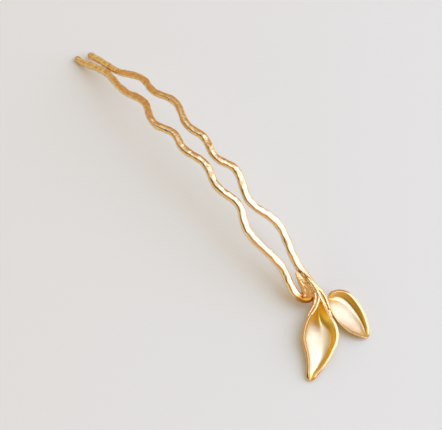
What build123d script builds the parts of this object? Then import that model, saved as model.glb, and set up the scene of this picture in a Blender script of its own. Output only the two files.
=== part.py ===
"""A two-pronged hair pin of wavy hammered wire with a cast sprig of two cupped leaves on its bend.

X runs from the prong tips to the leaves, Y to the upper prong, and Z is up from the surface it lies on.
The pin is arched to follow the head, so it rests on its two prong tips and on the undersides of the leaves.
The wire, the twig and the leaves are soldered and plated together, so they are one solid.
"""
import os
from math import cos, pi, sin

from build123d import *

# The wire pin
pin_length = 57.85  # prong tips to the outside of the bend
arch_rise = 10.3  # height of the arch over the prong tips
wave_reach = 2.7  # centre of the pin to a prong's centre at the widest wave
wire_width = 1.5  # across the hammered wire at the bend
tip_width = 1.15  # across the hammered wire at the prong tips
wire_thickness = 1.1
tip_round = 0.45  # length over which a prong tip is rounded off

# The cast sprig
stem_length = 4.6  # blunt start of the twig to the outside of the bend
stem_width = 2.0
stem_height = 1.5
stem_lift = 0.35  # middle of the twig over the middle of the wire
stem_inset = 0.5  # middle of the blunt start beside the upper prong's middle
neck_width = 1.3  # each of the two necks between the twig and a leaf
neck_height = 1.1
neck_reach = 0.07  # share of a leaf's length that its neck runs into it
leaf_wall = 0.5

front_leaf_length = 12.9
front_leaf_width = 5.0  # between the insides of its rims
front_leaf_height = 3.0  # highest rim over the surface below
front_leaf_turn = -46.5  # degrees from the pin's line
front_leaf_gap = 1.6  # middle of the bend to the start of the leaf
front_leaf_offset = 0.25  # the leaf's start to the side of the pin's line

side_leaf_length = 8.7
side_leaf_width = 3.9
side_leaf_height = 3.1
side_leaf_turn = 9.5
side_leaf_gap = 2.1
side_leaf_offset = 1.75

# Arch: share of the way from tips to bend, share of the rise
ARCH = [
    (0.00, 0.000),
    (0.15, 0.585),
    (0.30, 0.935),
    (0.45, 1.000),
    (0.60, 0.925),
    (0.75, 0.740),
    (0.88, 0.455),
    (1.00, 0.140),
]

# Waves: share of the way from tips to bend, share of the wave's reach
LOWER_PRONG = [
    (-0.009, 0.37),
    (0.095, 0.25),
    (0.215, 0.67),
    (0.279, 0.44),
    (0.360, 1.00),
    (0.426, 0.54),
    (0.471, 0.75),
    (0.548, 0.36),
    (0.618, 0.69),
    (0.689, 0.35),
    (0.770, 0.91),
    (0.895, 0.47),
    (0.960, 0.67),
]
UPPER_PRONG = [
    (0.009, 0.38),
    (0.128, 0.22),
    (0.215, 0.74),
    (0.272, 0.53),
    (0.344, 0.93),
    (0.428, 0.45),
    (0.482, 0.70),
    (0.545, 0.43),
    (0.612, 0.90),
    (0.703, 0.33),
    (0.801, 0.91),
    (0.918, 0.47),
    (0.960, 0.50),
]

# Leaf sections: share along the leaf, then for the back and the front rim its share of the leaf's
# width and of its height, and for the valley its share of the width and of the height
FRONT_LEAF = [
    (0.00, 0.08, 1.00, -0.07, 0.97, 0.01, 0.74),
    (0.10, 0.21, 1.00, -0.11, 0.92, 0.06, 0.46),
    (0.20, 0.37, 1.00, -0.21, 0.85, 0.13, 0.29),
    (0.30, 0.55, 0.97, -0.30, 0.80, 0.22, 0.25),
    (0.40, 0.64, 0.92, -0.34, 0.75, 0.27, 0.26),
    (0.50, 0.64, 0.84, -0.34, 0.70, 0.29, 0.27),
    (0.60, 0.56, 0.74, -0.26, 0.65, 0.29, 0.28),
    (0.70, 0.46, 0.62, -0.17, 0.58, 0.25, 0.27),
    (0.80, 0.33, 0.50, -0.11, 0.50, 0.17, 0.25),
    (0.90, 0.15, 0.38, -0.09, 0.38, 0.07, 0.22),
    (1.00, 0.00, 0.25, -0.05, 0.25, -0.02, 0.18),
]
SIDE_LEAF = [
    (0.00, 0.20, 0.97, -0.08, 0.94, 0.06, 0.74),
    (0.05, 0.38, 1.00, -0.10, 0.89, 0.15, 0.65),
    (0.10, 0.52, 1.00, -0.16, 0.84, 0.25, 0.59),
    (0.19, 0.64, 0.99, -0.25, 0.77, 0.38, 0.53),
    (0.30, 0.67, 0.95, -0.36, 0.72, 0.43, 0.47),
    (0.45, 0.62, 0.86, -0.45, 0.67, 0.42, 0.39),
    (0.60, 0.53, 0.75, -0.455, 0.63, 0.36, 0.32),
    (0.74, 0.39, 0.62, -0.40, 0.57, 0.27, 0.27),
    (0.86, 0.22, 0.48, -0.28, 0.47, 0.12, 0.23),
    (1.00, -0.03, 0.24, -0.07, 0.24, -0.05, 0.18),
]

# How round a leaf's wall is, from 1 for a flat slope: back side, front side
FRONT_ROUND = (2.2, 1.4)
SIDE_ROUND = (2.2, 1.3)

# How square the wire's and the twig's section is: 1 is an ellipse, less is squarer
section_squareness = 0.75

# How finely the faceted solids are cut
stations_per_prong = 56
stations_in_bend = 14
wire_sides = 8
stem_sections = 4
neck_sides = 8
leaf_sections = 16
leaf_steps = 4  # facets from the valley to a rim

centre_length = pin_length - wire_width / 2
tip_height = wire_thickness / 2
prong_reach = wave_reach * UPPER_PRONG[-1][1]  # the upper prong's side of the bend


def eased(rows, share):
    """A value between two rows, level at each row, so the rows are the crests of the waves."""
    for low, high in zip(rows, rows[1:]):
        if share <= high[0]:
            part = (share - low[0]) / (high[0] - low[0])
            return low[1] + (high[1] - low[1]) * (1 - cos(pi * part)) / 2
    return rows[-1][1]


def smooth(rows, share, column=1):
    """A value between two rows, on a smooth curve through all the rows of that column."""
    share = min(max(share, rows[0][0]), rows[-1][0])
    last = len(rows) - 1
    i = next(k for k in range(last) if share <= rows[k + 1][0])

    def slope(k):
        before, after = rows[max(k - 1, 0)], rows[min(k + 1, last)]
        return (after[column] - before[column]) / (after[0] - before[0])

    span = rows[i + 1][0] - rows[i][0]
    t = (share - rows[i][0]) / span
    start, end = rows[i][column], rows[i + 1][column]
    return (
        start * (2 * t**3 - 3 * t**2 + 1)
        + slope(i) * span * (t**3 - 2 * t**2 + t)
        + end * (3 * t**2 - 2 * t**3)
        + slope(i + 1) * span * (t**3 - t**2)
    )


def arch_height(x):
    """Height of the wire's centre over the surface."""
    return tip_height + arch_rise * smooth(ARCH, x / centre_length)


def prong_line(rows, side):
    """Plan of one prong from its tip to the far point of the bend."""
    start, end = rows[0][0], rows[-1][0]
    shares = [start + (end - start) * k / stations_per_prong for k in range(stations_per_prong + 1)]
    plan = [(share * centre_length, side * wave_reach * eased(rows, share)) for share in shares]
    bend_x, bend_y = plan[-1]
    steps = stations_in_bend // 2
    for k in range(1, steps + 1):
        turn = pi / 2 * k / steps
        plan.append((bend_x + (centre_length - bend_x) * sin(turn), bend_y * cos(turn)))
    return plan


def wire_line():
    """The wire's centre from the lower prong's tip round the bend to the upper prong's tip."""
    plan = prong_line(LOWER_PRONG, -1) + prong_line(UPPER_PRONG, 1)[-2::-1]
    line = [Vector(x, y, arch_height(x)) for x, y in plan]
    first = line[0] + (line[0] - line[1]).normalized() * tip_round
    last = line[-1] + (line[-1] - line[-2]).normalized() * tip_round
    return [first] + line + [last]


def ring(centre, ahead, width, height, sides):
    """A flattened round section square to its line, as a list of points."""
    along = ahead.normalized()
    across = Vector(0, 0, 1).cross(along).normalized()
    up = along.cross(across)

    def bulge(value):
        return (1 if value > 0 else -1) * abs(value) ** section_squareness

    turns = [2 * pi * (k + 0.5) / sides for k in range(sides)]
    return [centre + across * (width / 2 * bulge(cos(t))) + up * (height / 2 * bulge(sin(t))) for t in turns]


def faceted(triangles):
    """A solid from its triangles."""
    return Solid(Shell([Face(Wire.make_polygon(corners, close=True)) for corners in triangles]))


def strips(rings):
    """The triangles between closed rings of equally many points."""
    triangles = []
    for one, two in zip(rings, rings[1:]):
        for k in range(len(one)):
            m = (k + 1) % len(one)
            triangles += [(one[k], one[m], two[m]), (one[k], two[m], two[k])]
    return triangles


def tube(line, widths, heights, sides):
    """A faceted tube along a line of points, closed with a fan at each end."""
    rings = []
    for k, centre in enumerate(line):
        ahead = line[min(k + 1, len(line) - 1)] - line[max(k - 1, 0)]
        rings.append(ring(centre, ahead, widths[k], heights[k], sides))
    triangles = strips(rings)
    for centre, end, order in ((line[0], rings[0], 1), (line[-1], rings[-1], -1)):
        for k in range(sides):
            near, far = (end[k], end[(k + 1) % sides])[::order]
            triangles.append((centre, far, near))
    return faceted(triangles)


def wavy_wire():
    """The hammered wire, wider at the bend than at the tips, with its two ends rounded off."""
    line = wire_line()
    widths = [tip_width + (wire_width - tip_width) * max(point.X, 0) / centre_length for point in line]
    heights = [wire_thickness] * len(line)
    for end in (0, -1):
        widths[end] /= 2
        heights[end] /= 2
    return tube(line, widths, heights, wire_sides)


def leaf_frame(length, turn, gap, side):
    """Places a point given along, beside and above a leaf into the pin's frame."""
    start = Vector(centre_length + gap, side, 0)
    along = Vector(length, 0, 0).rotate(Axis.Z, turn)
    beside = Vector(0, 1, 0).rotate(Axis.Z, turn)
    return lambda share, reach, height: start + along * share + beside * reach + Vector(0, 0, height)


def leaf_section(rows, share, width, height, roundness, place):
    """The inside of a leaf at one place along it, from its back rim through the valley to its front rim."""
    back, back_top, front, front_top, valley, floor = (smooth(rows, share, column) for column in range(1, 7))
    section = []
    for step in range(-leaf_steps, leaf_steps + 1):
        part = abs(step) / leaf_steps
        rim, top, round_by = (back, back_top, roundness[0]) if step < 0 else (front, front_top, roundness[1])
        reach = valley + (rim - valley) * (1 - (1 - part) ** round_by)
        section.append(place(share, reach * width, (floor + (top - floor) * part**round_by) * height))
    return section


def cupped_leaf(rows, width, height, roundness, place):
    """A thin cup: its inside from the sections, and its outside one wall away."""
    shares = [k / leaf_sections for k in range(leaf_sections + 1)]
    inside = [leaf_section(rows, share, width, height, roundness, place) for share in shares]
    columns = len(inside[0])
    outside = []
    for i, section in enumerate(inside):
        outer = []
        for j, point in enumerate(section):
            along = inside[min(i + 1, leaf_sections)][j] - inside[max(i - 1, 0)][j]
            across = section[min(j + 1, columns - 1)] - section[max(j - 1, 0)]
            outer.append(point + along.cross(across).normalized() * leaf_wall)
        outside.append(outer)
    triangles = strips([inner + outer[::-1] for inner, outer in zip(inside, outside)])
    for inner, outer, order in ((inside[0], outside[0], 1), (inside[-1], outside[-1], -1)):
        for k in range(columns - 1):
            triangles.append((inner[k], outer[k], inner[k + 1])[::order])
            triangles.append((inner[k + 1], outer[k], outer[k + 1])[::order])
    return faceted(triangles)


def stem_point(share):
    """The twig's middle, from its blunt start on the upper prong to the far point of the bend."""
    x = pin_length - stem_length + (stem_length - wire_width / 2) * share
    return Vector(x, prong_reach - stem_inset * (1 - share), arch_height(x) + stem_lift)


front_place = leaf_frame(front_leaf_length, front_leaf_turn, front_leaf_gap, front_leaf_offset)
side_place = leaf_frame(side_leaf_length, side_leaf_turn, side_leaf_gap, side_leaf_offset)

with BuildPart() as pin_wire:
    add(wavy_wire())

with BuildPart() as front_leaf:
    add(cupped_leaf(FRONT_LEAF, front_leaf_width, front_leaf_height, FRONT_ROUND, front_place))

with BuildPart() as side_leaf:
    add(cupped_leaf(SIDE_LEAF, side_leaf_width, side_leaf_height, SIDE_ROUND, side_place))

with BuildPart() as stem:
    trunk = [stem_point(k / stem_sections) for k in range(stem_sections)]
    add(tube(trunk, [stem_width] * len(trunk), [stem_height] * len(trunk), neck_sides))
    seats = (
        (front_place, FRONT_LEAF, front_leaf_height),
        (side_place, SIDE_LEAF, side_leaf_height),
    )
    for place, rows, height in seats:
        seat = place(neck_reach, 0, rows[0][6] * height)
        neck = [trunk[-2], trunk[-1], (trunk[-1] + seat) / 2, seat]
        add(tube(neck, [neck_width] * len(neck), [neck_height] * len(neck), neck_sides))

with BuildPart() as leaf_hair_pin:
    for piece in (pin_wire, stem, front_leaf, side_leaf):
        add(piece.part)

box = leaf_hair_pin.part.bounding_box()
middle = box.center()
leaf_hair_pin.part.position = Vector(-middle.X, -middle.Y, -box.min.Z)
leaf_hair_pin.part.label = "leaf_hair_pin"

os.makedirs("parts", exist_ok=True)
export_step(leaf_hair_pin.part, "parts/leaf_hair_pin.step")
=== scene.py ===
"""A gold-plated hair pin: one wavy hammered wire with two prongs, and a cast sprig of leaves on its bend.

Shapes are worked out in millimetres in the pin's own frame: X from the prong tips to the leaves, Y to the
upper prong, Z up from the surface. into_part() then puts a finished mesh in the part's frame, in metres.
"""
from math import atan2, cos, exp, pi, radians, sin, sqrt

import bmesh
import bpy
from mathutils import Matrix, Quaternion, Vector, noise


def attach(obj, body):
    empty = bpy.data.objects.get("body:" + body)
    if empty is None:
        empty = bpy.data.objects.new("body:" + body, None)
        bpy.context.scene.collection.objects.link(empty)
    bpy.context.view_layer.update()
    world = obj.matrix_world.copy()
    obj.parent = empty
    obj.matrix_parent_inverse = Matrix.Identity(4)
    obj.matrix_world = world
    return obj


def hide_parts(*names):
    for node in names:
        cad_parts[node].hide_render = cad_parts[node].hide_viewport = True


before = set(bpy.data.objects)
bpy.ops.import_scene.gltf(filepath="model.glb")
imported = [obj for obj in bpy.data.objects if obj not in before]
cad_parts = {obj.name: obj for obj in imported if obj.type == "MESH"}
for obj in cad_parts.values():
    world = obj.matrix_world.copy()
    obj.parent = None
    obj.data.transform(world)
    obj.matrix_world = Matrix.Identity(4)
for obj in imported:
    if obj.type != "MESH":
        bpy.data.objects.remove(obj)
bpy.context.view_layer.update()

MM = 0.001
PIN_ORIGIN = Vector((-33.553, 2.168, -0.057))  # the pin's own origin in the part's frame
BODY = "root"
NODE = "leaf_hair_pin"

# Camera: where it looks in the pin's frame, and from where
LOOKS_AT = Vector((36.47, -0.89, 0.0))
CAMERA_AZIMUTH = 38.36
CAMERA_ELEVATION = 63.9
CAMERA_ROLL = 11.8
CAMERA_DISTANCE = 360.8
SENSOR = 36.0
FOCAL_LENGTH = 179.2

# The wire pin
PIN_LENGTH = 57.85
ARCH_RISE = 10.3
WAVE_REACH = 2.7
WIRE_WIDTH = 1.5
TIP_WIDTH = 1.15
WIRE_THICKNESS = 1.1
TIP_ROUND = 0.45
CENTRE_LENGTH = PIN_LENGTH - WIRE_WIDTH / 2
TIP_HEIGHT = WIRE_THICKNESS / 2

# Arch: share of the way from tips to bend, share of the rise
ARCH = [
    (0.00, 0.000),
    (0.15, 0.585),
    (0.30, 0.935),
    (0.45, 1.000),
    (0.60, 0.925),
    (0.75, 0.740),
    (0.88, 0.455),
    (1.00, 0.140),
]

# Waves: share of the way from tips to bend, share of the wave's reach
LOWER_PRONG = [
    (-0.009, 0.37),
    (0.095, 0.25),
    (0.215, 0.67),
    (0.279, 0.44),
    (0.360, 1.00),
    (0.426, 0.54),
    (0.471, 0.75),
    (0.548, 0.36),
    (0.618, 0.69),
    (0.689, 0.35),
    (0.770, 0.91),
    (0.895, 0.47),
    (0.960, 0.67),
]
UPPER_PRONG = [
    (0.009, 0.38),
    (0.128, 0.22),
    (0.215, 0.74),
    (0.272, 0.53),
    (0.344, 0.93),
    (0.428, 0.45),
    (0.482, 0.70),
    (0.545, 0.43),
    (0.612, 0.90),
    (0.703, 0.33),
    (0.801, 0.91),
    (0.918, 0.47),
    (0.960, 0.50),
]

# Leaf sections: share along the leaf, then for the back and the front rim its share of the leaf's
# width and of its height, and for the valley its share of the width and of the height
FRONT_LEAF = [
    (0.00, 0.08, 1.00, -0.07, 0.97, 0.01, 0.74),
    (0.10, 0.21, 1.00, -0.11, 0.92, 0.06, 0.46),
    (0.20, 0.37, 1.00, -0.21, 0.85, 0.13, 0.29),
    (0.30, 0.55, 0.97, -0.30, 0.80, 0.22, 0.25),
    (0.40, 0.64, 0.92, -0.34, 0.75, 0.27, 0.26),
    (0.50, 0.64, 0.84, -0.34, 0.70, 0.29, 0.27),
    (0.60, 0.56, 0.74, -0.26, 0.65, 0.29, 0.28),
    (0.70, 0.46, 0.62, -0.17, 0.58, 0.25, 0.27),
    (0.80, 0.33, 0.50, -0.11, 0.50, 0.17, 0.25),
    (0.90, 0.15, 0.38, -0.09, 0.38, 0.07, 0.22),
    (1.00, 0.00, 0.25, -0.05, 0.25, -0.02, 0.18),
]
SIDE_LEAF = [
    (0.00, 0.20, 0.97, -0.08, 0.94, 0.06, 0.74),
    (0.05, 0.38, 1.00, -0.10, 0.89, 0.15, 0.65),
    (0.10, 0.52, 1.00, -0.16, 0.84, 0.25, 0.59),
    (0.19, 0.64, 0.99, -0.25, 0.77, 0.38, 0.53),
    (0.30, 0.67, 0.95, -0.36, 0.72, 0.43, 0.47),
    (0.45, 0.62, 0.86, -0.45, 0.67, 0.42, 0.39),
    (0.60, 0.53, 0.75, -0.455, 0.63, 0.36, 0.32),
    (0.74, 0.39, 0.62, -0.40, 0.57, 0.27, 0.27),
    (0.86, 0.22, 0.48, -0.28, 0.47, 0.12, 0.23),
    (1.00, -0.03, 0.24, -0.07, 0.24, -0.05, 0.18),
]

# Fold between a leaf's floor and its back wall: share along the leaf, share of the way from the front
# rim to the back rim, share of the way up from the floor to the back rim
FRONT_FOLD = [
    (0.00, 0.60, 0.02),
    (0.05, 0.60, 0.04),
    (0.13, 0.70, 0.07),
    (0.21, 0.79, 0.10),
    (0.28, 0.87, 0.13),
    (0.35, 0.90, 0.18),
    (0.41, 0.91, 0.22),
    (0.51, 0.91, 0.24),
    (0.60, 0.89, 0.23),
    (0.69, 0.88, 0.21),
    (0.77, 0.84, 0.20),
    (0.86, 0.78, 0.20),
    (1.00, 0.55, 0.15),
]
SIDE_FOLD = [
    (0.00, 0.60, 0.10),
    (0.05, 0.82, 0.12),
    (0.10, 0.88, 0.12),
    (0.20, 0.91, 0.10),
    (0.36, 0.93, 0.08),
    (0.52, 0.94, 0.07),
    (0.66, 0.94, 0.06),
    (0.80, 0.94, 0.06),
    (0.90, 0.90, 0.06),
    (1.00, 0.60, 0.06),
]


def eased(rows, share):
    """A value between two rows, level at each row, so the rows are the crests of the waves."""
    for low, high in zip(rows, rows[1:]):
        if share <= high[0]:
            part = (share - low[0]) / (high[0] - low[0])
            return low[1] + (high[1] - low[1]) * (1 - cos(pi * part)) / 2
    return rows[-1][1]


def smooth(rows, share, column=1):
    """A value between two rows, on a smooth curve through all the rows of that column."""
    share = min(max(share, rows[0][0]), rows[-1][0])
    last = len(rows) - 1
    i = next(k for k in range(last) if share <= rows[k + 1][0])

    def slope(k):
        before, after = rows[max(k - 1, 0)], rows[min(k + 1, last)]
        return (after[column] - before[column]) / (after[0] - before[0])

    span = rows[i + 1][0] - rows[i][0]
    t = (share - rows[i][0]) / span
    start, end = rows[i][column], rows[i + 1][column]
    return (
        start * (2 * t**3 - 3 * t**2 + 1)
        + slope(i) * span * (t**3 - 2 * t**2 + t)
        + end * (3 * t**2 - 2 * t**3)
        + slope(i + 1) * span * (t**3 - t**2)
    )


# Blender helpers


def put(tree, kind, inputs=None, **settings):
    """Adds a node. inputs gives each named or numbered input its value, or the socket that feeds it."""
    made = tree.nodes.new(kind)
    for name, value in settings.items():
        setattr(made, name, value)
    for key, value in (inputs or {}).items():
        if isinstance(value, bpy.types.NodeSocket):
            tree.links.new(value, made.inputs[key])
        else:
            made.inputs[key].default_value = value
    return made


def calc(tree, operation, *values):
    """The result of a Math node."""
    return put(tree, "ShaderNodeMath", dict(enumerate(values)), operation=operation).outputs[0]


def calc_vector(tree, operation, *values):
    """The result of a Vector Math node that gives a vector."""
    return put(tree, "ShaderNodeVectorMath", dict(enumerate(values)), operation=operation).outputs[0]


def scaled(tree, vector, factor):
    """A vector times a number."""
    made = put(tree, "ShaderNodeVectorMath", {0: vector, "Scale": factor}, operation="SCALE")
    return made.outputs[0]


def mixed(tree, share, first, second):
    """A number between two, by share."""
    return put(tree, "ShaderNodeMix", {0: share, 2: first, 3: second}, data_type="FLOAT").outputs[0]


def mixed_colour(tree, share, first, second):
    """A colour between two, by share."""
    return put(tree, "ShaderNodeMix", {0: share, 6: first, 7: second}, data_type="RGBA").outputs[2]


def ranged(tree, value, start, end, low=0.0, high=1.0, easing="LINEAR"):
    """A number that goes from low to high while the value goes from start to end."""
    limits = {"Value": value, "From Min": start, "From Max": end, "To Min": low, "To Max": high}
    return put(tree, "ShaderNodeMapRange", limits, interpolation_type=easing).outputs["Result"]


def attribute(tree, name):
    """The mesh's own number of that name, for a material."""
    return put(tree, "ShaderNodeAttribute", attribute_name=name).outputs["Fac"]


def named_vector(tree, name):
    """The geometry's own vector attribute of that name."""
    made = put(tree, "GeometryNodeInputNamedAttribute", {"Name": name}, data_type="FLOAT_VECTOR")
    return made.outputs["Attribute"]


def into_part(mesh):
    """Moves a mesh from the pin's frame, in millimetres, into the part's frame, in metres."""
    for vertex in mesh.vertices:
        vertex.co = (vertex.co + PIN_ORIGIN) * MM
    mesh.update()


def baked(holder, name):
    """The evaluated object as a plain mesh object of its own; the holder and its modifiers go."""
    graph = bpy.context.evaluated_depsgraph_get()
    mesh = bpy.data.meshes.new_from_object(holder.evaluated_get(graph))
    mesh.name = name
    holder.modifiers.clear()
    bpy.data.objects.remove(holder)
    piece = bpy.data.objects.new(name, mesh)
    bpy.context.collection.objects.link(piece)
    return piece


def outward(mesh, merge=0.0005):
    """Merges doubles and points every face outwards."""
    shape = bmesh.new()
    shape.from_mesh(mesh)
    bmesh.ops.remove_doubles(shape, verts=shape.verts, dist=merge)
    bmesh.ops.recalc_face_normals(shape, faces=shape.faces)
    shape.to_mesh(mesh)
    shape.free()


# Gold finishes

WIRE_PALE = (0.93, 0.65, 0.25, 1)
WIRE_DEEP = (0.76, 0.47, 0.13, 1)
WIRE_POLISHED = (0.93, 0.67, 0.29, 1)
POLISHED_ROUGHNESS = 0.06
# Painted shade: darker, duller gold on the bend and the upper prong where they lie under the twig
TWIG_SHADE_GOLD = (0.60, 0.26, 0.025, 1)
JOINT_ROUGHNESS = 0.35
CAST_GOLD = (0.95, 0.65, 0.23, 1)
CAST_DEEP = (0.92, 0.55, 0.14, 1)
SATIN_GOLD = (0.94, 0.76, 0.33, 1)
SATIN_DEEP = (0.92, 0.71, 0.28, 1)
# Painted bounce light: saturated orange gold by the leaves' folds and at their bases, where light bounces
# inside the cup
BOUNCE_LIGHT_GOLD = (1.00, 0.715, 0.135, 1)
CREASE_GOLD = (0.34, 0.18, 0.04, 1)
RIM_GOLD = (0.87, 0.60, 0.21, 1)
RIM_ROUGHNESS = 0.13
HAMMER_MARKS = 0.04  # height of the small dents and the grain on hammered gold
SATIN_MARKS = 0.02
# Noise values between which the plating turns from pale to deep, and the polish from smoothest to roughest
PATCH_RANGE = (0.35, 0.65)
WEAR_RANGE = (0.3, 0.7)
WEAR_SCALE = 0.9


def new_group(name, inputs, outputs):
    """A shader group with its sockets: inputs are (name, type, value), outputs (name, type)."""
    tree = bpy.data.node_groups.new(name, "ShaderNodeTree")
    for label, kind, value in inputs:
        tree.interface.new_socket(label, in_out="INPUT", socket_type=kind).default_value = value
    for label, kind in outputs:
        tree.interface.new_socket(label, in_out="OUTPUT", socket_type=kind)
    return tree, tree.nodes.new("NodeGroupInput"), tree.nodes.new("NodeGroupOutput")


def millimetres(tree):
    """Object coordinates in millimetres."""
    place = put(tree, "ShaderNodeTexCoord")
    return scaled(tree, place.outputs["Object"], 1 / MM)


def plating_group():
    """Slightly uneven plating: a colour between a pale and a deep gold, in soft patches."""
    tree, given, result = new_group(
        "plating",
        [
            ("Pale", "NodeSocketColor", (1, 1, 1, 1)),
            ("Deep", "NodeSocketColor", (1, 1, 1, 1)),
            ("Patch Size", "NodeSocketFloat", 3.0),
        ],
        [("Color", "NodeSocketColor")],
    )
    scale = calc(tree, "DIVIDE", 1.0, given.outputs["Patch Size"])
    patches = put(tree, "ShaderNodeTexNoise", {"Vector": millimetres(tree), "Scale": scale, "Detail": 3.0})
    share = ranged(tree, patches.outputs["Fac"], *PATCH_RANGE)
    colour = mixed_colour(tree, share, given.outputs["Pale"], given.outputs["Deep"])
    tree.links.new(colour, result.inputs["Color"])
    return tree


def handwork_group():
    """Marks of hand finishing: small dents and fine polishing grain as a height, and a roughness."""
    tree, given, result = new_group(
        "handwork",
        [
            ("Dent Size", "NodeSocketFloat", 0.8),
            ("Dents", "NodeSocketFloat", 1.0),
            ("Grain Size", "NodeSocketFloat", 0.08),
            ("Grain", "NodeSocketFloat", 0.3),
            ("Smoothest", "NodeSocketFloat", 0.12),
            ("Roughest", "NodeSocketFloat", 0.3),
        ],
        [("Height", "NodeSocketFloat"), ("Roughness", "NodeSocketFloat")],
    )
    place = millimetres(tree)
    dent_scale = calc(tree, "DIVIDE", 1.0, given.outputs["Dent Size"])
    grain_scale = calc(tree, "DIVIDE", 1.0, given.outputs["Grain Size"])
    dents = put(
        tree,
        "ShaderNodeTexVoronoi",
        {"Vector": place, "Scale": dent_scale, "Smoothness": 0.35},
        feature="SMOOTH_F1",
    )
    grain = put(tree, "ShaderNodeTexNoise", {"Vector": place, "Scale": grain_scale, "Detail": 2.0})
    dent_height = calc(tree, "MULTIPLY", dents.outputs["Distance"], given.outputs["Dents"])
    grain_height = calc(tree, "MULTIPLY", grain.outputs["Fac"], given.outputs["Grain"])
    tree.links.new(calc(tree, "ADD", dent_height, grain_height), result.inputs["Height"])
    worn = put(tree, "ShaderNodeTexNoise", {"Vector": place, "Scale": WEAR_SCALE, "Detail": 4.0})
    smoothest, roughest = given.outputs["Smoothest"], given.outputs["Roughest"]
    rough = ranged(tree, worn.outputs["Fac"], *WEAR_RANGE, smoothest, roughest)
    tree.links.new(rough, result.inputs["Roughness"])
    return tree


PLATING = plating_group()
HANDWORK = handwork_group()


def new_material(name):
    """A material with a bare metal shader."""
    material = bpy.data.materials.new(name)
    material.use_nodes = True
    material.node_tree.nodes.clear()
    tree = material.node_tree
    shader = put(tree, "ShaderNodeBsdfPrincipled", {"Metallic": 1.0})
    end = put(tree, "ShaderNodeOutputMaterial")
    tree.links.new(shader.outputs["BSDF"], end.inputs["Surface"])
    return material, tree, shader


def hammered_gold(name, pale, deep, patch_size, dent_size):
    """Polished plating over hammered metal. The mesh's smooth attribute says where it is smoother and paler,
    and a second attribute where painted shade under the twig makes it darker and duller."""
    material, tree, shader = new_material(name)
    plating = put(
        tree,
        "ShaderNodeGroup",
        {"Pale": pale, "Deep": deep, "Patch Size": patch_size},
        node_tree=PLATING,
    ).outputs
    work = put(
        tree,
        "ShaderNodeGroup",
        {
            "Dent Size": dent_size,
            "Dents": 0.8,
            "Grain Size": 0.22,
            "Grain": 0.9,
            "Smoothest": 0.09,
            "Roughest": 0.22,
        },
        node_tree=HANDWORK,
    ).outputs
    even = attribute(tree, "smooth")
    twig_shade = attribute(tree, "twig_shade")
    strength = calc(tree, "SUBTRACT", 1.0, even)
    bump = put(
        tree,
        "ShaderNodeBump",
        {"Strength": strength, "Height": work["Height"], "Distance": HAMMER_MARKS * MM},
    )
    colour = mixed_colour(tree, even, plating["Color"], WIRE_POLISHED)
    # Painted shade: darker gold where the bend and the upper prong lie under the twig
    colour = mixed_colour(tree, twig_shade, colour, TWIG_SHADE_GOLD)
    rough = mixed(tree, even, work["Roughness"], POLISHED_ROUGHNESS)
    rough = mixed(tree, twig_shade, rough, JOINT_ROUGHNESS)
    tree.links.new(colour, shader.inputs["Base Color"])
    tree.links.new(rough, shader.inputs["Roughness"])
    tree.links.new(bump.outputs["Normal"], shader.inputs["Normal"])
    return material


def leaf_gold(name):
    """Satin inside the cup, and polished where the mesh's polish attribute says: on the rim and outside. A
    second attribute gives the painted orange bounce light by the fold and at the base, and its crease
    attribute the fold's painted shadow line."""
    material, tree, shader = new_material(name)
    plating = put(
        tree,
        "ShaderNodeGroup",
        {"Pale": SATIN_GOLD, "Deep": SATIN_DEEP, "Patch Size": 4.0},
        node_tree=PLATING,
    ).outputs
    satin = put(
        tree,
        "ShaderNodeGroup",
        {
            "Dent Size": 1.1,
            "Dents": 0.5,
            "Grain Size": 0.07,
            "Grain": 0.35,
            "Smoothest": 0.32,
            "Roughest": 0.40,
        },
        node_tree=HANDWORK,
    ).outputs
    polish = attribute(tree, "polish")
    bump = put(tree, "ShaderNodeBump", {"Height": satin["Height"], "Distance": SATIN_MARKS * MM})
    # Painted orange bounce light by the fold and at the base, then the painted shadow line of the fold
    colour = mixed_colour(tree, attribute(tree, "bounce_light"), plating["Color"], BOUNCE_LIGHT_GOLD)
    colour = mixed_colour(tree, attribute(tree, "crease"), colour, CREASE_GOLD)
    colour = mixed_colour(tree, polish, colour, RIM_GOLD)
    rough = mixed(tree, polish, satin["Roughness"], RIM_ROUGHNESS)
    tree.links.new(colour, shader.inputs["Base Color"])
    tree.links.new(rough, shader.inputs["Roughness"])
    tree.links.new(bump.outputs["Normal"], shader.inputs["Normal"])
    return material


# The wavy hammered wire

# The bend's face leans inwards under the twig: from where to where, how far, and the bend's centre
LEAN_START = 55.3
LEAN_END = 56.2
BEND_LEAN = 0.42
BEND_CENTRE = 54.8
SLOPE_REACH = 0.5  # how far before and after a point the arch's slope is taken
FLAT_TURN = 0.55  # how much the hammer flats change round the wire
RIDGE_FROM = 0.45  # square of the distance from a flat's middle at which its ridge begins
FLAT_FALL = 2.0  # how steeply a flat falls from its ridge
# What grows along the wire, the smoothness of its polished part and the painted shade on the bend and the
# upper prong under the twig: from which Y on, from where to where along the pin, and how much
BOTH_PRONGS = -5.0
UPPER_ONLY = 0.0
FADES = [
    ("smooth", BOTH_PRONGS, 28.0, 43.0, 0.85),
    ("twig_shade", BOTH_PRONGS, 55.5, 56.3, 1.0),
    ("twig_shade", UPPER_ONLY, 52.4, 54.2, 0.4),
]


def arch_height(x):
    """Height of the wire's centre over the surface."""
    return TIP_HEIGHT + ARCH_RISE * smooth(ARCH, x / CENTRE_LENGTH)


def prong_line(rows, side, stations=420, bend_stations=40):
    """Plan of one prong from its tip to the far point of the bend."""
    start, end = rows[0][0], rows[-1][0]
    shares = [start + (end - start) * k / stations for k in range(stations + 1)]
    plan = [(share * CENTRE_LENGTH, side * WAVE_REACH * eased(rows, share)) for share in shares]
    bend_x, bend_y = plan[-1]
    for k in range(1, bend_stations + 1):
        turn = pi / 2 * k / bend_stations
        plan.append((bend_x + (CENTRE_LENGTH - bend_x) * sin(turn), bend_y * cos(turn)))
    return plan


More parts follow.
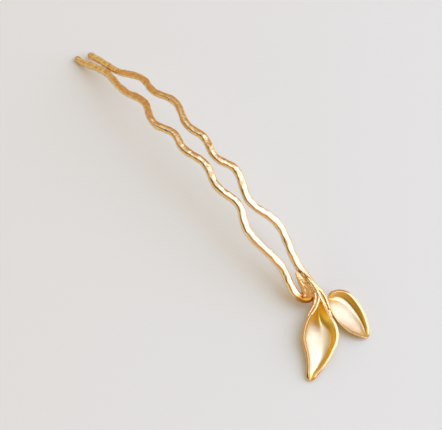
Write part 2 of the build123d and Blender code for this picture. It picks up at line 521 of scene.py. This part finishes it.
def wire_line():
    """The wire's centre from the lower prong's tip round the bend to the upper prong's tip."""
    plan = prong_line(LOWER_PRONG, -1) + prong_line(UPPER_PRONG, 1)[-2::-1]
    line = [Vector((x, y, arch_height(x))) for x, y in plan]
    first = line[0] + (line[0] - line[1]).normalized() * TIP_ROUND
    last = line[-1] + (line[-1] - line[-2]).normalized() * TIP_ROUND
    return [first] + line + [last]


def line_object(name, points, ups):
    """The edges from point to point as an object; its up attribute holds the way the section faces."""
    data = bpy.data.meshes.new(name)
    data.from_pydata(points, [(k, k + 1) for k in range(len(points) - 1)], [])
    facing = data.attributes.new("up", "FLOAT_VECTOR", "POINT")
    for index, up in enumerate(ups):
        facing.data[index].vector = up
    made = bpy.data.objects.new(name, data)
    bpy.context.collection.objects.link(made)
    return made


def hammered_wire_tree():
    """Geometry nodes that sweep a flattened section along a line and hammer flats into it."""
    tree = bpy.data.node_groups.new("hammered wire", "GeometryNodeTree")
    tree.interface.new_socket("Line", in_out="INPUT", socket_type="NodeSocketGeometry")
    for label, kind, value in (
        ("Bend Width", "NodeSocketFloat", 1.0),
        ("Tip Width", "NodeSocketFloat", 1.0),
        ("Thickness", "NodeSocketFloat", 1.0),
        ("Squareness", "NodeSocketFloat", 1.0),
        ("Tip Round", "NodeSocketFloat", 0.1),
        ("Station", "NodeSocketFloat", 0.1),
        ("Sides", "NodeSocketInt", 16),
        ("Flat Length", "NodeSocketFloat", 1.0),
        ("Flat Depth", "NodeSocketFloat", 0.1),
        ("Seed", "NodeSocketFloat", 0.0),
    ):
        tree.interface.new_socket(label, in_out="INPUT", socket_type=kind).default_value = value
    tree.interface.new_socket("Material", in_out="INPUT", socket_type="NodeSocketMaterial")
    tree.interface.new_socket("Wire", in_out="OUTPUT", socket_type="NodeSocketGeometry")
    given = put(tree, "NodeGroupInput").outputs

    line = put(tree, "GeometryNodeMeshToCurve", {"Mesh": given["Line"]}).outputs["Curve"]
    even = put(tree, "GeometryNodeResampleCurve", {"Curve": line}, mode="LENGTH")
    tree.links.new(given["Station"], even.inputs["Length"])

    # Size of the section: wide at the bend, narrow and rounded off at the tips
    along = put(tree, "GeometryNodeSplineParameter").outputs
    total = put(tree, "GeometryNodeSplineLength").outputs["Length"]
    from_middle = calc(tree, "ABSOLUTE", calc(tree, "MULTIPLY_ADD", along["Factor"], 2.0, -1.0))
    width = ranged(tree, from_middle, 0.0, 1.0, given["Bend Width"], given["Tip Width"])
    to_end = calc(tree, "MINIMUM", along["Length"], calc(tree, "SUBTRACT", total, along["Length"]))
    inset = calc(tree, "SUBTRACT", 1.0, calc(tree, "DIVIDE", to_end, given["Tip Round"]))
    inset = calc(tree, "MAXIMUM", inset, 0.0)
    rounding = calc(tree, "SUBTRACT", 1.0, calc(tree, "MULTIPLY", inset, inset))
    rounding = calc(tree, "SQRT", calc(tree, "MAXIMUM", rounding, 0.0))
    half_width = calc(tree, "MULTIPLY", calc(tree, "MULTIPLY", width, 0.5), rounding)
    half_height = calc(tree, "MULTIPLY", calc(tree, "MULTIPLY", given["Thickness"], 0.5), rounding)

    held = put(tree, "GeometryNodeCaptureAttribute", {"Geometry": even.outputs["Curve"]})
    for kind, label, source in (
        ("VECTOR", "centre", put(tree, "GeometryNodeInputPosition").outputs[0]),
        ("VECTOR", "ahead", put(tree, "GeometryNodeInputTangent").outputs[0]),
        ("VECTOR", "facing", named_vector(tree, "up")),
        ("FLOAT", "half width", half_width),
        ("FLOAT", "half height", half_height),
        ("FLOAT", "length", along["Length"]),
    ):
        held.capture_items.new(kind, label)
        tree.links.new(source, held.inputs[label])

    circle = put(tree, "GeometryNodeCurvePrimitiveCircle", {"Resolution": given["Sides"], "Radius": 1.0})
    rim = put(tree, "GeometryNodeCaptureAttribute", {"Geometry": circle.outputs["Curve"]})
    rim.capture_items.new("VECTOR", "turn")
    tree.links.new(put(tree, "GeometryNodeInputPosition").outputs[0], rim.inputs["turn"])
    swept = put(
        tree,
        "GeometryNodeCurveToMesh",
        {"Curve": held.outputs["Geometry"], "Profile Curve": rim.outputs["Geometry"], "Fill Caps": True},
    )

    # Each point of the section, squarer than an ellipse
    turn = put(tree, "ShaderNodeSeparateXYZ", {0: rim.outputs["turn"]}).outputs
    across = calc_vector(tree, "CROSS_PRODUCT", held.outputs["facing"], held.outputs["ahead"])
    across = calc_vector(tree, "NORMALIZE", across)
    up = calc_vector(tree, "CROSS_PRODUCT", held.outputs["ahead"], across)
    up = calc_vector(tree, "NORMALIZE", up)

    def bulge(value):
        size = calc(tree, "POWER", calc(tree, "ABSOLUTE", value), given["Squareness"])
        return calc(tree, "MULTIPLY", size, calc(tree, "SIGN", value))

    beside = scaled(tree, across, calc(tree, "MULTIPLY", bulge(turn[0]), held.outputs["half width"]))
    above = scaled(tree, up, calc(tree, "MULTIPLY", bulge(turn[1]), held.outputs["half height"]))
    spoke = calc_vector(tree, "ADD", beside, above)

    # Hammer flats: shallow dents with soft ridges between them
    cell = put(
        tree,
        "ShaderNodeCombineXYZ",
        {
            0: calc(tree, "DIVIDE", held.outputs["length"], given["Flat Length"]),
            1: calc(tree, "MULTIPLY", turn[0], FLAT_TURN),
            2: calc(tree, "ADD", calc(tree, "MULTIPLY", turn[1], FLAT_TURN), given["Seed"]),
        },
    ).outputs[0]
    flats = put(
        tree,
        "ShaderNodeTexVoronoi",
        {"Vector": cell, "Scale": 1.0, "Smoothness": 0.25, "Randomness": 0.9},
        feature="SMOOTH_F1",
    ).outputs["Distance"]
    dent = calc(tree, "SUBTRACT", calc(tree, "MULTIPLY", flats, flats), RIDGE_FROM)
    dent = calc(tree, "MULTIPLY", calc(tree, "MULTIPLY", dent, FLAT_FALL), given["Flat Depth"])
    dent = calc(tree, "MINIMUM", dent, 0.0)
    push = scaled(tree, calc_vector(tree, "NORMALIZE", spoke), dent)
    place = calc_vector(tree, "ADD", calc_vector(tree, "ADD", held.outputs["centre"], spoke), push)
    shaped = put(tree, "GeometryNodeSetPosition", {"Geometry": swept.outputs["Mesh"], "Position": place})
    soft = put(
        tree,
        "GeometryNodeSetShadeSmooth",
        {"Geometry": shaped.outputs["Geometry"], "Shade Smooth": True},
    )
    real = put(tree, "GeometryNodeRealizeInstances", {"Geometry": soft.outputs["Geometry"]})
    dressed = put(
        tree,
        "GeometryNodeSetMaterial",
        {"Geometry": real.outputs["Geometry"], "Material": given["Material"]},
    )
    end = put(tree, "NodeGroupOutput")
    tree.links.new(dressed.outputs["Geometry"], end.inputs["Wire"])
    return tree


def run_tree(holder, tree, values):
    """Puts a tree on an object, its inputs set by their identifiers."""
    modifier = holder.modifiers.new(tree.name, "NODES")
    modifier.node_group = tree
    names = {item.name: item.identifier for item in tree.interface.items_tree if item.in_out == "INPUT"}
    for label, value in values.items():
        modifier[names[label]] = value


def wavy_pin():
    """The hammered wire, from one prong tip round the bend to the other."""
    line = wire_line()
    ups = []
    for point in line:
        fall = arch_height(point.x - SLOPE_REACH) - arch_height(point.x + SLOPE_REACH)
        up = Vector((fall, 0, 2 * SLOPE_REACH))
        leaning = BEND_LEAN * min(max((point.x - LEAN_START) / (LEAN_END - LEAN_START), 0), 1)
        up += Vector((BEND_CENTRE - point.x, -point.y, 0)).normalized() * leaning
        ups.append(up)
    holder = line_object("wire line", line, ups)
    sizes = {
        "Bend Width": WIRE_WIDTH,
        "Tip Width": TIP_WIDTH,
        "Thickness": WIRE_THICKNESS,
        "Squareness": 0.78,
        "Tip Round": TIP_ROUND,
        "Station": 0.12,
        "Sides": 24,
        "Flat Length": 1.5,
        "Flat Depth": 0.10,
        "Seed": 4.0,
        "Material": hammered_gold(
            "hammered wire gold", WIRE_PALE, WIRE_DEEP, patch_size=0.5, dent_size=0.45
        ),
    }
    run_tree(holder, hammered_wire_tree(), sizes)
    piece = baked(holder, "wavy_pin")
    outward(piece.data)
    # Fades in the polished smoothness, and the painted shade under the twig
    for name in ("smooth", "twig_shade"):
        piece.data.attributes.new(name, "FLOAT", "POINT")
    for name, side, start, end, most in FADES:
        for vertex, value in zip(piece.data.vertices, piece.data.attributes[name].data):
            if vertex.co.y > side:
                share = min(max((vertex.co.x - start) / (end - start), 0), 1)
                value.value = max(value.value, most * share)
    into_part(piece.data)
    return piece


# The cupped leaves

LEAF_WALL = 0.5
LEAF_STATIONS = 80
ACROSS_STEPS = 54
CAP_STEPS = 7
CAP_REACH = 0.45  # how far a rim bulges, as a share of half its thickness
CAP_SQUARE = 0.6  # 1 is a round rim, less is squarer
VEIN_WIDTH = 0.13
CREASE_WIDTH = 0.16
CREASE_FROM = 0.10  # share along the leaf from which the fold's shadow line begins
CREASE_FADE = 0.15  # share over which it fades in, and out at the tip
TONE_WIDTH = 0.5  # how far before the fold the painted orange bounce light begins
ROUND_FROM = 0.4  # share along the leaf from which the front wall is fully rounded
TIP_START = 0.94  # share along the leaf from which its tip is rounded off
TIP_SIZE = 0.12  # the last section at the tip, as a share of its full size
FACE_STEPS = 24  # points on each of the three faces inside, before they are spaced evenly
BACK_ROUND = 1.15  # 1 is a straight back wall, more is rounder
FOLD_GAP = 0.02  # least distance from the valley to the fold
VEIN_START = 0.06  # share along the leaf over which the vein rises
VEIN_END = 0.3  # share over which it fades towards the tip


def leaf_frame(length, turn, gap, side):
    """Places a point given along, beside and above a leaf into the pin's frame."""
    start = Vector((CENTRE_LENGTH + gap, side, 0))
    along = Vector((cos(radians(turn)), sin(radians(turn)), 0)) * length
    beside = Vector((-sin(radians(turn)), cos(radians(turn)), 0))
    return lambda share, reach, height: start + along * share + beside * reach + Vector((0, 0, height))


def evenly(points, count):
    """The same open line with its points an even way apart."""
    lengths = [0.0]
    for one, two in zip(points, points[1:]):
        lengths.append(lengths[-1] + (two - one).length)
    result, k = [], 0
    for step in range(count + 1):
        goal = lengths[-1] * step / count
        while k < len(points) - 2 and lengths[k + 1] < goal:
            k += 1
        part = (goal - lengths[k]) / max(lengths[k + 1] - lengths[k], 1e-9)
        result.append(points[k].lerp(points[k + 1], min(part, 1.0)))
    return result


def leaf_inside(leaf, share):
    """The inside of a leaf at one place along it, from its back rim over the fold and the floor to its front
    rim, and for each point its painted orange bounce light and painted shadow line."""
    back, back_top, front, front_top, valley, floor = (smooth(leaf["rows"], share, c) for c in range(1, 7))
    fold_place, fold_rise = (smooth(leaf["fold"], share, c) for c in (1, 2))
    back, front, valley = (value * leaf["width"] for value in (back, front, valley))
    back_top, front_top, floor = (value * leaf["height"] for value in (back_top, front_top, floor))
    fold = max(front + (back - front) * fold_place, valley + FOLD_GAP)
    fold_top = floor + (back_top - floor) * fold_rise
    roundness = 1 + (leaf["round"] - 1) * min(share / ROUND_FROM, 1)
    line = []
    for k in range(FACE_STEPS):
        part = 1 - k / FACE_STEPS
        reach = fold + (back - fold) * (1 - (1 - part) ** BACK_ROUND)
        line.append(Vector((reach, fold_top + (back_top - fold_top) * part, 0)))
    for k in range(FACE_STEPS):
        part = 1 - k / FACE_STEPS
        reach = valley + (fold - valley) * part
        line.append(Vector((reach, floor + (fold_top - floor) * part ** leaf["curve"], 0)))
    for k in range(FACE_STEPS + 1):
        part = k / FACE_STEPS
        reach = valley + (front - valley) * (1 - (1 - part) ** roundness)
        line.append(Vector((reach, floor + (front_top - floor) * part**roundness, 0)))
    line = evenly(line, ACROSS_STEPS)
    for _ in range(leaf["softness"]):
        line[1:-1] = [(a + b * 2 + c) / 4 for a, b, c in zip(line, line[1:], line[2:])]
    vein = leaf["vein"] * min(share / VEIN_START, (1 - share) / VEIN_END, 1.0)
    # Painted orange bounce light: at the base, and on the back wall from just before the fold
    at_base = min(max(2 - 2 * share / leaf["bounce base"], 0), 1)
    wall = min(share / leaf["bounce wall"], 1)
    lined = max(share - CREASE_FROM, 0)
    lined = leaf["crease"] * min(lined / CREASE_FADE, (1 - share) / CREASE_FADE, 1.0)
    tones = []
    for point in line:
        tone = max(at_base, wall * min(max((point.x - fold) / TONE_WIDTH + 1, 0), 1))
        from_fold = sqrt((point.x - fold) ** 2 + (point.y - fold_top) ** 2)
        tones.append((tone, lined * exp(-((from_fold / CREASE_WIDTH) ** 2))))
        point.y += vein * exp(-(((point.x - fold) / VEIN_WIDTH) ** 2))
    return [leaf["place"](share, point.x, point.y) for point in line], tones


def leaf_loops(leaf):
    """Closed sections of a leaf's wall: inside, front rim, outside, back rim."""
    made = [leaf_inside(leaf, k / LEAF_STATIONS) for k in range(LEAF_STATIONS + 1)]
    inside = [section for section, _ in made]
    tones = [tone for _, tone in made]
    loops = []
    for i, section in enumerate(inside):
        outer = []
        for j, point in enumerate(section):
            along = inside[min(i + 1, LEAF_STATIONS)][j] - inside[max(i - 1, 0)][j]
            across = section[min(j + 1, ACROSS_STEPS)] - section[max(j - 1, 0)]
            wall = LEAF_WALL * (1 + (leaf["front wall"] - 1) * j / ACROSS_STEPS)
            outer.append(point + along.cross(across).normalized() * wall)
        loop = list(section)
        loop += rim_cap(section[-1], outer[-1], section[-1] - section[-3])
        loop += outer[::-1]
        loop += rim_cap(outer[0], section[0], section[0] - section[2])
        near_tip = max(i / LEAF_STATIONS - TIP_START, 0) / (1 - TIP_START)
        centre = sum(loop, Vector()) / len(loop)
        size = max(sqrt(1 - near_tip**2), TIP_SIZE)
        loops.append([centre + (point - centre) * size for point in loop])
    return loops, tones


def rim_cap(start, end, over):
    """Points over the rim from one face of the wall to the other, bulging past it."""
    middle, half = (start + end) / 2, (end - start) / 2
    over = over.normalized() * half.length * CAP_REACH
    turns = [pi * (k + 1) / (CAP_STEPS + 1) for k in range(CAP_STEPS)]

    def square(value):
        return (1 if value > 0 else -1) * abs(value) ** CAP_SQUARE

    return [middle - half * square(cos(turn)) + over * square(sin(turn)) for turn in turns]


def cupped_leaf(leaf, material):
    """A leaf as a closed shell with rounded rims, satin inside."""
    loops, tones = leaf_loops(leaf)
    count = len(loops[0])
    points = [point for loop in loops for point in loop]
    faces = []
    for i in range(len(loops) - 1):
        for j in range(count):
            k = (j + 1) % count
            faces.append((i * count + j, i * count + k, (i + 1) * count + k, (i + 1) * count + j))
    for i, order in ((0, 1), (len(loops) - 1, -1)):
        points.append(sum(loops[i], Vector()) / count)
        for j in range(count):
            ring = (i * count + j, i * count + (j + 1) % count)[::order]
            faces.append((len(points) - 1, ring[1], ring[0]))
    mesh = bpy.data.meshes.new(leaf["name"])
    mesh.from_pydata(points, [], faces)
    polish = mesh.attributes.new("polish", "FLOAT", "POINT")
    bounce_light = mesh.attributes.new("bounce_light", "FLOAT", "POINT")
    crease = mesh.attributes.new("crease", "FLOAT", "POINT")
    for index in range(len(points)):
        i, j = divmod(index, count)
        within = i < len(loops) and 1 <= j < ACROSS_STEPS
        on_front_rim = i < len(loops) and ACROSS_STEPS <= j <= ACROSS_STEPS + CAP_STEPS
        polish.data[index].value = 0.0 if within else leaf["front polish"] if on_front_rim else 1.0
        bounce_light.data[index].value, crease.data[index].value = tones[i][j] if within else (0.0, 0.0)
    for face in mesh.polygons:
        face.use_smooth = True
    mesh.materials.append(material)
    holder = bpy.data.objects.new(leaf["name"] + " holder", mesh)
    bpy.context.collection.objects.link(holder)
    finer = holder.modifiers.new("finer", "SUBSURF")
    finer.levels = finer.render_levels = 1
    piece = baked(holder, leaf["name"])
    outward(piece.data)
    into_part(piece.data)
    return piece


# round: 1 is a straight front wall, more is rounder. softness: rounds of smoothing across. vein and crease:
# height of the vein and strength of the painted shadow line. curve: 1 is a straight floor up to the fold,
# more is hollower. bounce base: share along the leaf that the painted orange bounce light fills. bounce
# wall: share over which that painted bounce light grows on the back wall. front wall: share of the wall's
# thickness left at the front rim. front polish: how polished that rim is.
LEAVES = [
    {
        "name": "front_leaf",
        "rows": FRONT_LEAF,
        "fold": FRONT_FOLD,
        "width": 5.0,
        "height": 3.0,
        "round": 1.4,
        "softness": 3,
        "vein": 0.10,
        "crease": 0.25,
        "curve": 2.0,
        "bounce base": 0.30,
        "bounce wall": 0.05,
        "front wall": 0.9,
        "front polish": 1.0,
        "place": leaf_frame(12.9, -46.5, 1.6, 0.25),
    },
    {
        "name": "side_leaf",
        "rows": SIDE_LEAF,
        "fold": SIDE_FOLD,
        "width": 3.9,
        "height": 3.1,
        "round": 1.3,
        "softness": 4,
        "vein": 0.0,
        "crease": 0.9,
        "curve": 1.2,
        "bounce base": 0.03,
        "bounce wall": 0.35,
        "front wall": 0.5,
        "front polish": 0.35,
        "place": leaf_frame(8.7, 9.5, 2.1, 1.75),
    },
]

# The casting of the twig

CORD_STATIONS = 24
CORD_SIDES = 14
VOXEL = 0.05  # of the melt that joins twig and cords
# Lengthwise grain on its skin
GRAIN_LENGTH = 1.6
GRAIN_WIDTH = 0.34
GRAIN_DEPTH = 0.035
# The twig: place along the pin, then the corners of its section beside and above the pin's line, from
# the foot of the left side over the top to the foot of the right side and the bottom
TWIG = [
    (53.00, (0.05, 4.10), (0.08, 4.55), (0.50, 4.64), (0.90, 4.82), (1.10, 4.40), (0.80, 3.90)),
    (53.60, (-0.25, 3.90), (-0.20, 4.40), (0.48, 4.56), (0.98, 4.78), (1.22, 4.28), (0.75, 3.70)),
    (54.40, (-0.50, 3.50), (-0.42, 4.10), (0.52, 4.34), (1.15, 4.64), (1.44, 4.10), (0.70, 3.40)),
    (55.20, (-0.62, 3.05), (-0.52, 3.72), (0.60, 4.05), (1.34, 4.48), (1.60, 3.80), (0.70, 2.90)),
    (55.90, (-0.85, 2.60), (-0.70, 3.20), (0.68, 3.72), (1.40, 4.16), (1.65, 3.45), (0.80, 2.60)),
    (56.60, (-1.20, 2.10), (-1.00, 2.62), (0.66, 3.32), (1.48, 3.80), (1.70, 3.10), (0.90, 2.30)),
    (57.25, (-0.95, 1.80), (-0.75, 2.30), (0.60, 2.95), (1.50, 3.42), (1.68, 2.85), (0.90, 2.00)),
    (57.80, (-0.10, 1.80), (0.00, 2.20), (0.70, 2.70), (1.40, 3.05), (1.55, 2.60), (0.90, 1.90)),
]
# Bead of solder on the bend, and the web between the two necks
BEAD = [
    (56.33, -0.97, 3.05, 0.12),
    (56.43, -0.97, 3.07, 0.25),
    (56.62, -0.97, 3.10, 0.33),
    (56.81, -0.97, 3.07, 0.25),
    (56.91, -0.97, 3.05, 0.12),
]
WEB = [
    (57.30, 1.15, 2.90, 0.40),
    (59.00, 1.00, 2.45, 0.40),
    (60.50, 0.75, 2.20, 0.36),
    (61.80, 0.30, 2.00, 0.30),
]
# Cords from the twig along the leaves' rims: place of the middle, radius
OUTER_CORD = [
    (55.00, 0.70, 3.76, 0.26),
    (55.60, 0.76, 3.72, 0.28),
    (56.00, 0.80, 3.68, 0.30),
    (56.60, 0.80, 3.42, 0.32),
    (57.15, 0.66, 3.16, 0.33),
    (57.75, 0.34, 2.92, 0.33),
    (58.28, -0.20, 2.72, 0.32),
    (58.76, -0.98, 2.54, 0.30),
    (59.15, -1.95, 2.40, 0.25),
    (59.40, -2.70, 2.34, 0.18),
]
LEFT_CORD = [
    (54.60, 1.00, 4.26, 0.24),
    (55.30, 1.05, 4.08, 0.27),
    (56.25, 1.15, 3.74, 0.30),
    (57.10, 1.08, 3.42, 0.33),
    (57.85, 0.82, 3.14, 0.33),
    (58.52, 0.32, 2.90, 0.32),
    (59.02, -0.42, 2.74, 0.30),
    (59.38, -1.30, 2.64, 0.28),
    (59.62, -2.20, 2.56, 0.22),
]
RIGHT_CORD = [
    (57.60, 1.00, 3.26, 0.34),
    (58.45, 0.78, 2.98, 0.33),
    (59.45, 0.60, 2.82, 0.30),
    (60.40, 0.36, 2.78, 0.27),
    (61.40, 0.00, 2.76, 0.20),
]
SIDE_CORD = [
    (56.00, 1.25, 3.75, 0.36),
    (57.00, 1.45, 3.42, 0.38),
    (57.95, 1.52, 3.12, 0.40),
    (58.95, 1.42, 2.88, 0.38),
    (59.90, 1.12, 2.66, 0.32),
    (60.80, 0.88, 2.50, 0.26),
]


def ring_faces(rings, sides):
    """The faces of a skin over rings of points, with one face over each end."""
    faces = []
    for k in range(rings - 1):
        for j in range(sides):
            m = (j + 1) % sides
            faces.append((k * sides + j, k * sides + m, (k + 1) * sides + m, (k + 1) * sides + j))
    faces.append(tuple(range(sides))[::-1])
    faces.append(tuple((rings - 1) * sides + j for j in range(sides)))
    return faces


def tube(places):
    """The skin of a round cord: each place has the cord's middle there and its radius."""
    points = [Vector(place[:3]) for place in places]
    verts = []
    for k, point in enumerate(points):
        radius = places[k][3]
        ahead = (points[min(k + 1, len(points) - 1)] - points[max(k - 1, 0)]).normalized()
        across = Vector((0, 0, 1)).cross(ahead).normalized()
        up = ahead.cross(across)
        for j in range(CORD_SIDES):
            turn = 2 * pi * j / CORD_SIDES
            verts.append(point + across * radius * cos(turn) + up * radius * sin(turn))
    return verts, ring_faces(len(points), CORD_SIDES)


def through(rows, count):
    """A smooth line through the rows, as many places as asked, each with the row's further columns."""
    keyed = [(k / (len(rows) - 1), *row) for k, row in enumerate(rows)]
    columns = range(1, len(rows[0]) + 1)
    return [[smooth(keyed, k / count, column) for column in columns] for k in range(count + 1)]


def trunk():
    """The twig's skin: straight facets between its sections, closed at both ends."""
    verts = [Vector((x, *corner)) for x, *corners in TWIG for corner in corners]
    return verts, ring_faces(len(TWIG), len(TWIG[0]) - 1)


def stem():
    """The twig, its cords, the bead of solder and the web, melted together as one casting."""
    verts, faces = trunk()
    for rows in (OUTER_CORD, LEFT_CORD, RIGHT_CORD, SIDE_CORD, BEAD, WEB):
        more, skin = tube(through(rows, CORD_STATIONS))
        faces += [tuple(index + len(verts) for index in face) for face in skin]
        verts += more
    mesh = bpy.data.meshes.new("stem")
    mesh.from_pydata(verts, [], faces)
    holder = bpy.data.objects.new("stem holder", mesh)
    bpy.context.collection.objects.link(holder)
    melt = holder.modifiers.new("melt", "REMESH")
    melt.mode = "VOXEL"
    melt.voxel_size = VOXEL
    melt.use_smooth_shade = True
    soft = holder.modifiers.new("soft", "SMOOTH")
    soft.factor = 0.5
    soft.iterations = 5
    piece = baked(holder, "stem")
    facing = [vertex.normal.copy() for vertex in piece.data.vertices]
    for vertex, normal in zip(piece.data.vertices, facing):
        x, y, z = vertex.co
        lengthwise = Vector((x / GRAIN_LENGTH, y / GRAIN_WIDTH, z / GRAIN_WIDTH))
        vertex.co += normal * noise.noise(lengthwise) * GRAIN_DEPTH
    piece.data.materials.clear()
    gold = hammered_gold("cast twig gold", CAST_GOLD, CAST_DEEP, patch_size=1.0, dent_size=0.6)
    piece.data.materials.append(gold)
    outward(piece.data)
    into_part(piece.data)
    return piece


# Studio, in metres

FLOOR_HALF = 1.5
FLOOR_COLOUR = (0.895, 0.88, 0.535, 1)
WINDOW_WIDTH = 0.90
WINDOW_TOP = Vector((0.42, 0.03, 0.70))
WINDOW_FOOT = Vector((0.42, 0.80, 0.02))
WINDOW_ENERGY = 8.4
WINDOW_COLOUR = (0.312, 0.42, 1.0)
ROOM_WALL = (0.66, 0.455, 0.375, 1)
ROOM_CEILING = (0.59, 0.475, 0.47, 1)
# Soft patches of the room, each over the ones before: which way it lies, the cosines between which it fades
# in, and its colour
ROOM_PATCHES = [
    ((0.0, -0.93, 0.36), 0.86, 0.98, (0.80, 0.86, 1.05, 1)),  # pale, low on the side of the lower prong
    ((-0.05, 0.0, 1.0), 0.80, 0.95, (0.95, 1.07, 1.80, 1)),  # bluish glow straight above
    ((0.0, -0.62, 0.78), 0.87, 0.97, (0.167, 0.102, 0.06, 1)),  # shade between the two
]


def studio():
    """A plain pale floor, one large soft window and a dim room round it."""
    mesh = bpy.data.meshes.new("floor")
    corners = [(x * FLOOR_HALF, y * FLOOR_HALF, 0) for x, y in ((-1, -1), (1, -1), (1, 1), (-1, 1))]
    mesh.from_pydata(corners, [], [(0, 1, 2, 3)])
    floor = bpy.data.objects.new("floor", mesh)
    bpy.context.collection.objects.link(floor)
    material = bpy.data.materials.new("pale floor")
    material.use_nodes = True
    shader = material.node_tree.nodes["Principled BSDF"]
    shader.inputs["Base Color"].default_value = FLOOR_COLOUR
    shader.inputs["Roughness"].default_value = 0.9
    shader.inputs["Specular IOR Level"].default_value = 0.1
    mesh.materials.append(material)

    # A tall window on the side of the upper prong, leaning over the pin down to the floor
    light = bpy.data.lights.new("window", "AREA")
    light.shape = "RECTANGLE"
    light.size, light.size_y = WINDOW_WIDTH, (WINDOW_TOP - WINDOW_FOOT).length
    light.energy = WINDOW_ENERGY
    light.color = WINDOW_COLOUR
    lamp = bpy.data.objects.new("window", light)
    lamp.location = (WINDOW_TOP + WINDOW_FOOT) / 2
    lean = WINDOW_FOOT - WINDOW_TOP
    lamp.rotation_euler = (atan2(lean.z, lean.y), 0, 0)
    lamp.visible_camera = False
    bpy.context.collection.objects.link(lamp)

    # A dim room of warm brown, with its patches
    world = bpy.data.worlds.new("room")
    world.use_nodes = True
    tree = world.node_tree
    tree.nodes.clear()
    way = put(tree, "ShaderNodeTexCoord").outputs["Generated"]
    height = put(tree, "ShaderNodeSeparateXYZ", {0: way}).outputs[2]
    room = mixed_colour(tree, calc(tree, "ABSOLUTE", height), ROOM_WALL, ROOM_CEILING)
    for towards, start, end, colour in ROOM_PATCHES:
        cosine = put(tree, "ShaderNodeVectorMath", {0: way, 1: towards}, operation="DOT_PRODUCT")
        share = ranged(tree, cosine.outputs["Value"], start, end, easing="SMOOTHSTEP")
        room = mixed_colour(tree, share, room, colour)
    back = put(tree, "ShaderNodeBackground", {"Color": room, "Strength": 1.0})
    end = put(tree, "ShaderNodeOutputWorld")
    tree.links.new(back.outputs["Background"], end.inputs["Surface"])
    bpy.context.scene.world = world
    bpy.context.scene.view_settings.view_transform = "Standard"


def camera():
    """The photo's camera: a long lens looking steeply down, tilted a little."""
    a, e = radians(CAMERA_AZIMUTH), radians(CAMERA_ELEVATION)
    back = Vector((sin(a) * cos(e), -cos(a) * cos(e), sin(e)))
    data = bpy.data.cameras.new("camera")
    data.sensor_width = SENSOR
    data.lens = FOCAL_LENGTH
    data.clip_start, data.clip_end = 0.01, 10
    made = bpy.data.objects.new("camera", data)
    made.location = (LOOKS_AT + PIN_ORIGIN + back * CAMERA_DISTANCE) * MM
    made.rotation_mode = "QUATERNION"
    made.rotation_quaternion = (-back).to_track_quat("-Z", "Y") @ Quaternion((0, 0, 1), radians(CAMERA_ROLL))
    bpy.context.collection.objects.link(made)
    bpy.context.scene.camera = made


camera()
studio()
pin = wavy_pin()
twig = stem()
leaf_finish = leaf_gold("satin leaf gold")
front, side = (cupped_leaf(leaf, leaf_finish) for leaf in LEAVES)

for piece in (pin, twig, front, side):
    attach(piece, BODY)
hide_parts(NODE)
for piece in (twig, front, side):
    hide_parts(NODE)
